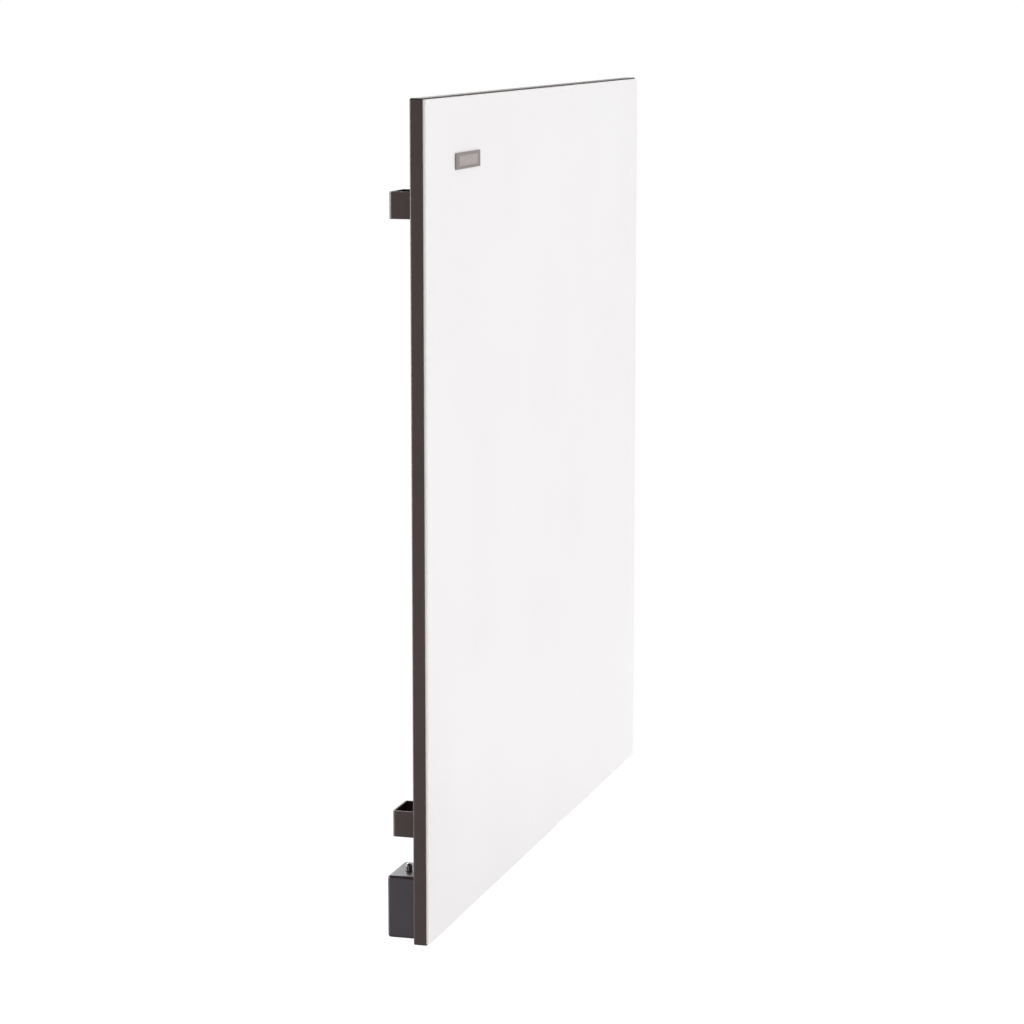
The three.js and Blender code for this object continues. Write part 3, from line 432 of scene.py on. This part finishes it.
def turned(name, profile, centre, axis="y", ring_shaped=False):
    """A profile of (radius, place along the axis) turned about an axis through a centre."""
    rings = []
    for radius, along in profile:
        ring = []
        for step in range(ROUND_STEPS):
            angle = TURN * step / ROUND_STEPS
            a, b = radius * math.cos(angle), radius * math.sin(angle)
            if axis == "x":
                ring.append((along, centre[1] + a, centre[2] + b))
            elif axis == "y":
                ring.append((centre[0] + a, along, centre[2] + b))
            else:
                ring.append((centre[0] + a, centre[1] + b, along))
        rings.append(ring)
    return loft(name, rings, ring_shaped)


def settle(made):
    """Takes an object's modifiers into its mesh."""
    bpy.context.view_layer.update()
    worked = made.evaluated_get(bpy.context.evaluated_depsgraph_get())
    mesh = bpy.data.meshes.new_from_object(worked)
    made.modifiers.clear()
    made.data = mesh


def work(made, others, operation):
    """Joins other forms to one, or cuts them from it."""
    for other in others:
        change = made.modifiers.new("work", "BOOLEAN")
        change.operation = operation
        change.solver = "EXACT"
        change.object = other
    settle(made)
    for other in others:
        bpy.data.objects.remove(other)


def soften(made, edge_mm, segments):
    """Rounds an object's sharp edges and evens its normals, by modifiers."""
    if edge_mm:
        edge = made.modifiers.new("edge", "BEVEL")
        edge.width = edge_mm * MM
        edge.segments = segments
        edge.limit_method = "ANGLE"
        edge.angle_limit = math.radians(SHARP_DEG)
        edge.use_clamp_overlap = True
    made.modifiers.new("even", "WEIGHTED_NORMAL").weight = LARGE_FACE_WEIGHT


def finish_piece(made, node, edge_mm=0.0, finish=None):
    """Rounds a piece's sharp edges, evens its normals, and puts it in its node's place and body.

    Its finish is its node's, or another that is named.
    """
    made.data.transform(Matrix.Scale(MM, 4))
    made.data.shade_smooth()
    soften(made, edge_mm, segments=2)
    settle(made)
    made.data.materials.clear()
    made.data.materials.append(materials[finish or slots[node]])
    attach(made, body_of[node])
    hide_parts(node)


def make_plates():
    """The glazed plate with its ground arris, and the bare name plate, its field inside an etched border."""
    low, high = box_mm("front_plate")
    arris = [(inset, 2 * low.y - y) for inset, y in fold(PLATE_ARRIS, 0, low.y)]
    back = [(PLATE_ARRIS, high.y), (0, high.y - PLATE_ARRIS)]
    finish_piece(stacked("glazed_plate", low, high, PLATE_CORNER, back + arris), "front_plate")

    low, high = box_mm("name_plate")
    border = low.y + NAME_PLATE_ETCH
    edge = [(inset, 2 * border - y) for inset, y in fold(NAME_PLATE_EDGE, 0, border)]
    outline = [(0, high.y)] + edge
    rings = [rounded_rectangle(low, high, inset, NAME_PLATE_CORNER, y) for inset, y in outline]
    end = Vector((NAME_PLATE_END - NAME_PLATE_BORDER, 0, 0))
    field = [(NAME_PLATE_BORDER, border), (NAME_PLATE_BORDER + NAME_PLATE_ETCH, low.y)]
    rings += [rounded_rectangle(low + end, high - end, inset, NAME_PLATE_CORNER, y) for inset, y in field]
    finish_piece(loft("blank_name_plate", rings), "name_plate")


BRACKETS = ["upper_left_bracket", "upper_right_bracket", "lower_left_bracket", "lower_right_bracket"]
RIVETS = [node for node in frame["nodes"] if "_rivet_" in node]
BASE_SCREWS = ["base_screw_lower", "base_screw_upper"]
COVER_SCREWS = ["cover_screw_lower", "cover_screw_upper"]
casing_back = box_mm(BRACKETS[0])[0].y - SEAT_GAP
casing_inside = casing_back - CASING_SHEET


def bead(name, z, y, low, high):
    """A pressed bead: a long ridge with a soft shoulder, whose foot starts inside the sheet."""
    half = BEAD_WIDTH / 2
    start = Vector((low.x + BEAD_SIDE_MARGIN - half - BEAD_SLOPE, 0, z - half - BEAD_SLOPE))
    end = Vector((high.x - BEAD_SIDE_MARGIN + half + BEAD_SLOPE, 0, z + half + BEAD_SLOPE))
    shares = [step / BEND_STEPS for step in range(BEND_STEPS + 1)]
    rise = [(BEAD_SLOPE * s, y + BEAD_HEIGHT * (1 - math.cos(TURN / 2 * s)) / 2) for s in shares]
    return stacked(name, start, end, half + BEAD_SLOPE, [(0, y - BEAD_SINK)] + rise)


def make_casing():
    """The folded casing: soft folds, square rim, pressed beads, and holes for rivets, screws and leads."""
    low, high = box_mm("rear_casing")
    inner_fold = fold(CASING_FOLD - CASING_SHEET, CASING_SHEET, casing_inside)
    edge = CASING_RIM_EDGE
    rim = [
        (CASING_SHEET, low.y + edge),
        (CASING_SHEET - edge, low.y),
        (edge, low.y),
        (0, low.y + edge),
    ]
    stages = inner_fold[::-1] + rim + fold(CASING_FOLD, 0, casing_back)
    casing = stacked("folded_casing", low, high, CASING_CORNER, stages)
    spacing = (high.z - low.z - 2 * BEAD_END_MARGIN) / (BEAD_COUNT - 1)
    heights = [low.z + BEAD_END_MARGIN + i * spacing for i in range(BEAD_COUNT)]
    work(casing, [bead("ridge", z, casing_back, low, high) for z in heights], "UNION")
    cutters = [bead("hollow", z, casing_inside, low, high) for z in heights]
    holes = [(node, RIVET_SHANK) for node in RIVETS]
    holes += [(node, SCREW_SHANK) for node in BASE_SCREWS + ["earth_screw"]]
    sides = (casing_inside - CUT_OVERRUN, casing_back + CUT_OVERRUN)
    for node, width in holes:
        radius = width / 2 + RUNNING_GAP
        cutters.append(turned("hole", [(radius, y) for y in sides], middle(node)))
    cutters.append(turned("hole", [(GROMMET_HOLE / 2, y) for y in sides], middle("lead_grommet")))
    work(casing, cutters, "DIFFERENCE")
    finish_piece(casing, "rear_casing")


def bent_strip(path, thickness, inside_radius):
    """The outline of a strip bent along a path of corners, with rounded bends and square ends."""
    radius = inside_radius + thickness / 2
    points = [Vector(corner) for corner in path]
    line = [(points[0], (points[1] - points[0]).normalized())]
    for before, corner, after in zip(points, points[1:], points[2:]):
        incoming = (corner - before).normalized()
        outgoing = (after - corner).normalized()
        bend = math.atan2(incoming.x * outgoing.y - incoming.y * outgoing.x, incoming.dot(outgoing))
        start = corner - incoming * radius * math.tan(abs(bend) / 2)
        side = Vector((-incoming.y, incoming.x))
        centre = start + side * math.copysign(radius, bend)
        for step in range(BEND_STEPS + 1):
            turn = Matrix.Rotation(bend * step / BEND_STEPS, 2)
            line.append((centre + turn @ (start - centre), turn @ incoming))
    line.append((points[-1], (points[-1] - points[-2]).normalized()))
    half = thickness / 2
    left = [at + Vector((-way.y, way.x)) * half for at, way in line]
    right = [at - Vector((-way.y, way.x)) * half for at, way in line]
    return left + right[::-1]


def keyhole(x, bottom, near, far):
    """The keyhole's cutter: a round entry with a narrower slot above it, through the bracket's wall side."""
    entry, slot = KEYHOLE_ENTRY / 2, KEYHOLE_SLOT / 2
    opening = math.asin(slot / entry)
    entry_z, seat_z = bottom + KEYHOLE_ENTRY_HEIGHT, bottom + KEYHOLE_SEAT_HEIGHT
    ring = []
    for step in range(ROUND_STEPS + 1):
        angle = TURN / 4 + opening + (TURN - 2 * opening) * step / ROUND_STEPS
        ring.append((x + entry * math.cos(angle), entry_z + entry * math.sin(angle)))
    for step in range(ROUND_STEPS // 2 + 1):
        angle = TURN / 2 * step / (ROUND_STEPS // 2)
        ring.append((x + slot * math.cos(angle), seat_z + slot * math.sin(angle)))
    return loft("keyhole", [[(a, y, b) for a, b in ring] for y in (near, far)])


def make_brackets():
    """The four hanging brackets: each a strip bent into a loop, open between its feet."""
    for node in BRACKETS:
        low, high = box_mm(node)
        x = (low.x + high.x) / 2
        side = (high.x - low.x - BRACKET_SHEET) / 2
        foot, rear = low.y + BRACKET_SHEET / 2, high.y - BRACKET_SHEET / 2
        half = BRACKET_FEET_GAP / 2
        path = [(half, foot), (side, foot), (side, rear), (-side, rear), (-side, foot), (-half, foot)]
        outline = bent_strip([(x + a, y) for a, y in path], BRACKET_SHEET, BRACKET_BEND)
        bracket = loft("bent_" + node, [[(a, y, z) for a, y in outline] for z in (low.z, high.z)])
        cutters = [keyhole(x, low.z, high.y - 2 * BRACKET_SHEET, high.y + CUT_OVERRUN)]
        for rivet in RIVETS:
            at = middle(rivet)
            if low.x < at.x < high.x and low.z < at.z < high.z:
                radius = RIVET_SHANK / 2 + RUNNING_GAP
                sides = (low.y - CUT_OVERRUN, low.y + 2 * BRACKET_SHEET)
                cutters.append(turned("hole", [(radius, y) for y in sides], at))
        work(bracket, cutters, "DIFFERENCE")
        finish_piece(bracket, node, BRACKET_EDGE)


def dome(radius, height, top):
    """A profile's round end, from its rim to just short of its crown."""
    angles = [TURN / 4 * step / (BEND_STEPS + 1) for step in range(BEND_STEPS + 1)]
    return [(radius * math.cos(a), top - height * (1 - math.sin(a))) for a in angles]


def make_rivets():
    """Blind rivets: a low dome with the mandrel's hole in it, and the tail that it set inside the casing."""
    for node in RIVETS:
        low, high = box_mm(node)
        head = (high.x - low.x) / 2
        shank, bore = RIVET_SHANK / 2, RIVET_BORE / 2
        seat = high.y - RIVET_HEAD_HEIGHT
        tail_seat = low.y + RIVET_TAIL_HEIGHT
        tail, rim = shank * RIVET_TAIL_SHARE, seat + RIVET_HEAD_RIM
        profile = [
            (shank * RIVET_END_SHARE, low.y),
            (shank, low.y + RIVET_END_EDGE),
            (tail, (low.y + tail_seat) / 2),
            (tail, tail_seat - RIVET_TAIL_EDGE),
            (shank, tail_seat),
            (shank, seat),
            (head - RIVET_SEAT_EDGE, seat),
            (head, seat + RIVET_RIM_EDGE),
        ]
        for step in range(BEND_STEPS + 1):
            share = step / BEND_STEPS
            radius = head + (bore + RIVET_RIM_EDGE - head) * share
            profile.append((radius, rim + (high.y - rim) * math.sin(TURN / 4 * share)))
        profile += [(bore, high.y - RIVET_BORE_EDGE), (bore, high.y - RIVET_BORE_DEPTH)]
        finish_piece(turned("set_" + node, profile, middle(node)), node)


def cross_cutter(at, crown, head):
    """Two crossed blades that narrow with depth, in proportion to a head's width."""
    reach, half = head * SCREW_CROSS_SHARE / 2, SCREW_CROSS_WIDTH / 2
    ends = [(crown - SCREW_CROSS_DEPTH, SCREW_CROSS_DRAFT), (crown + CUT_OVERRUN, -SCREW_CROSS_DRAFT)]
    corners = [(-1, -1), (1, -1), (1, 1), (-1, 1)]
    blades = []
    for a, b in ((reach, half), (half, reach)):
        rings = []
        for y, draft in ends:
            x, z = a - draft, b - draft
            rings.append([(at.x + i * x, y, at.z + j * z) for i, j in corners])
        blades.append(loft("blade", rings))
    return blades


def make_screws():
    """Pan-head screws with crowned heads and tapered cross recesses."""
    for node in BASE_SCREWS + COVER_SCREWS:
        low, high = box_mm(node)
        at = middle(node)
        head, shank = (high.x - low.x) / 2, SCREW_SHANK / 2
        seat = high.y - SCREW_HEAD_HEIGHT
        profile = [
            (shank / 2, low.y),
            (shank, low.y + shank),
            (shank, seat),
            (head - SCREW_EDGE, seat),
            (head, seat + SCREW_EDGE),
        ]
        profile += dome(head, SCREW_HEAD_HEIGHT * SCREW_DOME_SHARE, high.y)
        screw = turned("pan_" + node, profile, at)
        work(screw, cross_cutter(at, high.y, 2 * head), "DIFFERENCE")
        finish_piece(screw, node, SCREW_CROSS_EDGE)


def make_cover():
    """The moulded cover: soft outer edges, two screw wells, and holes for the button and the cord bush."""
    low, high = box_mm("control_box_cover")
    rear = high.y
    rim, edge = low.y, BOX_RIM_EDGE
    stages = fold(BOX_EDGE - BOX_WALL, BOX_WALL, rear - BOX_WALL)[::-1]
    stages += [(BOX_WALL, rim + edge), (BOX_WALL - edge, rim), (edge, rim), (0, rim + edge)]
    stages += fold(BOX_EDGE, 0, rear)
    cover = stacked("moulded_cover", low, high, BOX_CORNER, stages)
    screws = [middle(node) for node in COVER_SCREWS]
    boss_end = rear - COVER_BOSS_DEPTH
    well = BOSS_RADIUS + BOX_WALL / 2
    ends = (boss_end, rear - BOX_WALL / 2)
    work(cover, [turned("boss", [(well, y) for y in ends], at) for at in screws], "UNION")
    button, bush = middle("push_button"), middle("cord_bush")
    screw_low, screw_high = box_mm(COVER_SCREWS[0])
    shank = SCREW_SHANK / 2 + RUNNING_GAP
    head = (screw_high.x - screw_low.x) / 2 + RUNNING_GAP
    floor = rear - WELL_DEPTH
    sink = [(shank, boss_end - CUT_OVERRUN), (shank, floor), (head, floor), (head, rear + CUT_OVERRUN)]
    cutters = [turned("well", sink, at) for at in screws]
    for name, width, outside, at, axis in (
        ("button_hole", BUTTON_DIAMETER, high.z, button, "z"),
        ("bush_hole", BUSH_NECK, high.x, bush, "x"),
    ):
        ends = (outside - 2 * BOX_WALL, outside + CUT_OVERRUN)
        radius = width / 2 + RUNNING_GAP
        cutters.append(turned(name, [(radius, along) for along in ends], at, axis))
    work(cover, cutters, "DIFFERENCE")
    finish_piece(cover, "control_box_cover", HOLE_EDGE)


def make_button():
    """The push-button: a smooth domed cap, the flange that holds it in, and its stem."""
    low, high = box_mm("push_button")
    cap, flange, stem = BUTTON_DIAMETER / 2, BUTTON_FLANGE / 2, BUTTON_STEM / 2
    flange_top = box_mm("control_box_cover")[1].z - BOX_WALL - RUNNING_GAP
    flange_bottom = flange_top - BUTTON_FLANGE_HEIGHT
    profile = [
        (stem, low.z),
        (stem, flange_bottom),
        (flange - BUTTON_FLANGE_EDGE, flange_bottom),
        (flange, flange_bottom + BUTTON_FLANGE_EDGE),
        (flange, flange_top - BUTTON_FLANGE_EDGE),
        (flange - BUTTON_FLANGE_EDGE, flange_top),
        (cap, flange_top),
    ]
    profile += dome(cap, BUTTON_DOME, high.z)
    button = turned("domed_button", profile, middle("push_button"), "z")
    finish_piece(button, "push_button", finish="lacquered_polymer")


def make_spring():
    """The button's return spring, its end turns closed flat. It shortens as the button goes down."""
    low, high = box_mm("button_spring")
    at = middle("button_spring")
    wire = SPRING_WIRE / 2
    coil = (high.x - low.x) / 2 - wire
    flat = SPRING_END_TURNS / SPRING_TURNS
    rings = []
    for step in range(SPRING_STEPS + 1):
        share = step / SPRING_STEPS
        climb = min(max((share - flat) / (1 - 2 * flat), 0), 1)
        angle = TURN * SPRING_TURNS * share
        ring = []
        for side in range(SPRING_SIDES):
            round_wire = TURN * side / SPRING_SIDES
            radius = coil + wire * math.cos(round_wire)
            z = low.z + wire + (high.z - low.z - 2 * wire) * climb + wire * math.sin(round_wire)
            ring.append((at.x + radius * math.cos(angle), at.y + radius * math.sin(angle), z))
        rings.append(ring)
    spring = loft("coiled_button_spring", rings)
    finish_piece(spring, "button_spring")
    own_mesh(spring)


def make_bush():
    """The cord bush: a lip with a soft edge outside the box, a neck through its wall and a barb inside."""
    low, high = box_mm("cord_bush")
    bore, neck, barb = BUSH_BORE / 2, BUSH_NECK / 2, BUSH_BARB / 2
    lip = (high.z - low.z) / 2
    inner, outer = low.x + BUSH_BARB_THICKNESS, high.x - BUSH_LIP_THICKNESS
    edge = BUSH_EDGE
    profile = [
        (bore, low.x),
        (neck, low.x),
        (barb, inner),
        (neck, inner),
        (neck, outer),
        (lip - edge, outer),
        (lip, outer + edge),
        (lip, outer + BUSH_LIP_THICKNESS / 2),
        (lip - edge, outer + BUSH_LIP_THICKNESS / 2 + edge),
        (neck + edge, high.x - edge / 2),
        (neck, high.x),
        (bore + edge, high.x),
        (bore, high.x - edge),
    ]
    bush = turned("turned_cord_bush", profile, middle("cord_bush"), "x", ring_shaped=True)
    finish_piece(bush, "cord_bush")


make_plates()
make_casing()
make_brackets()
make_rivets()
make_screws()
make_cover()
make_button()
make_spring()
make_bush()


def finish_nodes():
    """Gives each node its slot's finish, and softens the edges of those that show."""
    for name, node in frame["nodes"].items():
        node.data.materials.clear()
        node.data.materials.append(materials[slots[name]])
        if node.hide_render:
            continue
        weld = node.modifiers.new("weld", "WELD")
        weld.merge_threshold = SAME_POINT * MM
        soften(node, SMALL_EDGE, segments=1)


finish_nodes()


def seen(tree):
    """One for rays that show a surface, directly, in gloss or through glass, and zero for the others."""
    path = add(tree, "ShaderNodeLightPath").outputs
    direct = {0: path["Is Camera Ray"], 1: path["Is Glossy Ray"]}
    shown = add(tree, "ShaderNodeMath", direct, operation="MAXIMUM").outputs[0]
    through = {0: shown, 1: path["Is Transmission Ray"]}
    return add(tree, "ShaderNodeMath", through, operation="MAXIMUM").outputs[0]


def add_floor():
    """A pale floor that keeps the heater's shadow near it, and is plain white further off. In reflections it
    shows a painted shade near the heater.
    """
    z = cad_low.z - FLOOR_DROP_MM * MM
    reach = FLOOR_REACH_MM * MM
    mesh = bpy.data.meshes.new("studio_floor")
    corners = [(-reach, -reach, z), (reach, -reach, z), (reach, reach, z), (-reach, reach, z)]
    mesh.from_pydata(corners, [], [(0, 1, 2, 3)])
    floor = bpy.data.objects.new("studio_floor", mesh)
    bpy.context.scene.collection.objects.link(floor)
    material = bpy.data.materials.new("white floor paint")
    material.use_nodes = True
    tree = material.node_tree
    tree.nodes.clear()
    at = add(tree, "ShaderNodeTexCoord").outputs["Object"]
    level = add(tree, "ShaderNodeVectorMath", {0: at, 1: (1, 1, 0)}, operation="MULTIPLY").outputs[0]
    distance = add(tree, "ShaderNodeVectorMath", {0: level}, operation="LENGTH").outputs["Value"]
    span = {
        "Value": distance,
        "From Min": FLOOR_NEAR_MM * MM,
        "From Max": FLOOR_FAR_MM * MM,
        "To Min": FLOOR_GLOW_SHARE,
    }
    share = add(tree, "ShaderNodeMapRange", span, interpolation_type="SMOOTHSTEP").outputs[0]
    glow_share = add(tree, "ShaderNodeMath", {0: share, 1: seen(tree)}, operation="MULTIPLY").outputs[0]
    # Painted shade: near the heater the floor glows in the ceiling's dark tone, for reflections only
    under = {"Value": distance, "From Min": FLOOR_FAR_MM * MM, "From Max": FLOOR_REFLECTED_SHADE_MM * MM}
    near = add(tree, "ShaderNodeMapRange", under).outputs[0]
    glossy = add(tree, "ShaderNodeLightPath").outputs["Is Glossy Ray"]
    dark = add(tree, "ShaderNodeMath", {0: near, 1: glossy}, operation="MULTIPLY").outputs[0]
    shades = {SHARE: dark, COLOUR_A: rgba(WHITE), COLOUR_B: rgba(CEILING)}
    shade = add(tree, "ShaderNodeMix", shades, data_type="RGBA").outputs[MIXED_COLOUR]
    lit = add(tree, "ShaderNodeBsdfDiffuse", {"Color": rgba(FLOOR_PAINT)}).outputs[0]
    glow = add(tree, "ShaderNodeEmission", {"Color": shade}).outputs[0]
    mixed = add(tree, "ShaderNodeMixShader", {0: glow_share, 1: lit, 2: glow}).outputs[0]
    add(tree, "ShaderNodeOutputMaterial", {"Surface": mixed})
    mesh.materials.append(material)


def light_studio():
    """A white sky for what is seen, a plain fill, and lamps.

    In reflections the sky is darker overhead and behind the camera.
    """
    world = bpy.data.worlds.new("studio")
    bpy.context.scene.world = world
    world.use_nodes = True
    tree = world.node_tree
    tree.nodes.clear()
    glossy = add(tree, "ShaderNodeLightPath").outputs["Is Glossy Ray"]
    way = add(tree, "ShaderNodeTexCoord").outputs["Generated"]
    up = add(tree, "ShaderNodeSeparateXYZ", {"Vector": way}).outputs["Z"]
    across = add(tree, "ShaderNodeVectorMath", {0: way, 1: AWAY}, operation="DOT_PRODUCT").outputs["Value"]
    behind = {"Value": across, "From Min": WHITE_SIDE_SHARE, "From Max": DARK_SIDE_SHARE}
    near = add(tree, "ShaderNodeMapRange", behind).outputs[0]
    overhead = {"Value": up, "From Min": CEILING_LOW, "From Max": CEILING_HIGH}
    over = add(tree, "ShaderNodeMapRange", overhead).outputs[0]
    walls = {SHARE: near, COLOUR_A: rgba(WHITE), COLOUR_B: rgba(DARK_SIDE)}
    sides = add(tree, "ShaderNodeMix", walls, data_type="RGBA").outputs[MIXED_COLOUR]
    roofed = {SHARE: over, COLOUR_A: sides, COLOUR_B: rgba(CEILING)}
    room = add(tree, "ShaderNodeMix", roofed, data_type="RGBA").outputs[MIXED_COLOUR]
    seen_and_mirrored = {SHARE: glossy, COLOUR_A: rgba(WHITE), COLOUR_B: room}
    colour = add(tree, "ShaderNodeMix", seen_and_mirrored, data_type="RGBA").outputs[MIXED_COLOUR]
    sky = add(tree, "ShaderNodeBackground", {"Color": colour}).outputs[0]
    fill = add(tree, "ShaderNodeBackground", {"Color": rgba(WHITE), "Strength": FILL_STRENGTH}).outputs[0]
    mixed = add(tree, "ShaderNodeMixShader", {0: seen(tree), 1: fill, 2: sky}).outputs[0]
    add(tree, "ShaderNodeOutputWorld", {"Surface": mixed})
    aim = (cad_low + cad_high) / 2
    for name, (place_mm, side_mm, watts) in LAMPS.items():
        lamp = bpy.data.lights.new(name, "AREA")
        lamp.size = side_mm * MM
        lamp.energy = watts
        holder = bpy.data.objects.new(name, lamp)
        holder.location = Vector(place_mm) * MM
        holder.rotation_euler = (aim - holder.location).to_track_quat("-Z", "Y").to_euler()
        bpy.context.scene.collection.objects.link(holder)


def add_camera():
    """The photograph's camera."""
    data = bpy.data.cameras.new("photograph")
    data.sensor_width = SENSOR_MM
    data.lens = FOCAL_PX / FRAME_PX * SENSOR_MM
    data.clip_end = FLOOR_REACH_MM * MM * 2
    camera = bpy.data.objects.new("photograph", data)
    camera.location = Vector(CAMERA_MM) * MM
    camera.rotation_euler = (math.radians(90 - CAMERA_TILT_DEG), 0, math.radians(CAMERA_TURN_DEG))
    bpy.context.scene.collection.objects.link(camera)
    bpy.context.scene.camera = camera


add_floor()
light_studio()
add_camera()
bpy.context.scene.view_settings.view_transform = "Standard"
